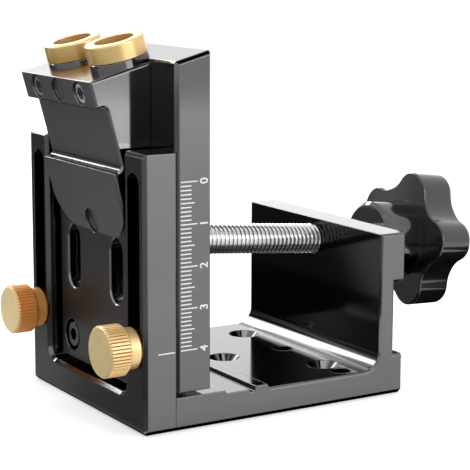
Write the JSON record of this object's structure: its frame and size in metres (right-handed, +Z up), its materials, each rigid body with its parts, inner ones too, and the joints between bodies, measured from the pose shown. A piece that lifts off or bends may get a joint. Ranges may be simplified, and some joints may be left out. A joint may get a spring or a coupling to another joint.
{
  "type": "pocket hole jig",
  "caption": "Pocket hole drilling jig: base with rear wall and slotted front frame, height slider with two slanted drill bushings, thumb screws, and a star-knob clamp screw with a swivel pad.",
  "frame": {"origin": "centre of the middle floor hole on the underside of the base", "axes": "+Z up, +Y to the clamp knob, -Y to the front frame with the thumb screws, +X across the jig on the side with the ruler"},
  "size_m": [0.0638, 0.1183, 0.0934],
  "materials": {
    "anodised_aluminium": "black anodised, satin",
    "bright_steel": "polished plated steel",
    "zinc_steel": "bright zinc",
    "black_steel": "black oxide",
    "brass": "turned",
    "knob_plastic": "satin moulded",
    "pad_rubber": "moulded"
  },
  "bodies": {
    "body": {"base": "anodised_aluminium", "front_frame": "anodised_aluminium", "frame_dowels": "bright_steel"},
    "slider": {"slide_plate": "anodised_aluminium", "guide_block": "anodised_aluminium", "block_screws": "black_steel", "left_bushing": "bright_steel", "right_bushing": "bright_steel", "left_bushing_ring": "brass", "right_bushing_ring": "brass", "left_set_screw": "zinc_steel", "right_set_screw": "zinc_steel"},
    "left_thumb": {"left_thumb_screw": "brass"},
    "right_thumb": {"right_thumb_screw": "brass"},
    "pad": {"clamp_pad": "zinc_steel", "pad_facing": "pad_rubber"},
    "screw": {"clamp_screw": "zinc_steel", "knob_hub": "bright_steel", "hub_set_screw": "black_steel", "clamp_knob": "knob_plastic"}
  },
  "joints": [
    {"name": "slider_height", "type": "slide", "parent": "body", "child": "slider", "axis": [0, 0, 1], "range_m": [0, 0.038]},
    {"name": "left_thumb_turn", "type": "hinge", "parent": "slider", "child": "left_thumb", "pos_m": [-0.0257, -0.0404, 0.0206], "axis": [0, 1, 0], "range_deg": [-720, 0]},
    {"name": "right_thumb_turn", "type": "hinge", "parent": "slider", "child": "right_thumb", "pos_m": [0.0257, -0.0404, 0.0206], "axis": [0, 1, 0], "range_deg": [-720, 0]},
    {"name": "pad_advance", "type": "slide", "parent": "body", "child": "pad", "axis": [0, -0.9962, 0.0872], "range_m": [-0.0369, 0.0047]},
    {"name": "knob_turn", "type": "hinge", "parent": "pad", "child": "screw", "pos_m": [0, -0.01205, 0.03986], "axis": [0, -0.9962, 0.0872], "range_deg": [-10630, 1356]}
  ],
  "couplings": [
    {"joint": "knob_turn", "follows": "pad_advance", "rad_per_m": 5026.5}
  ]
}
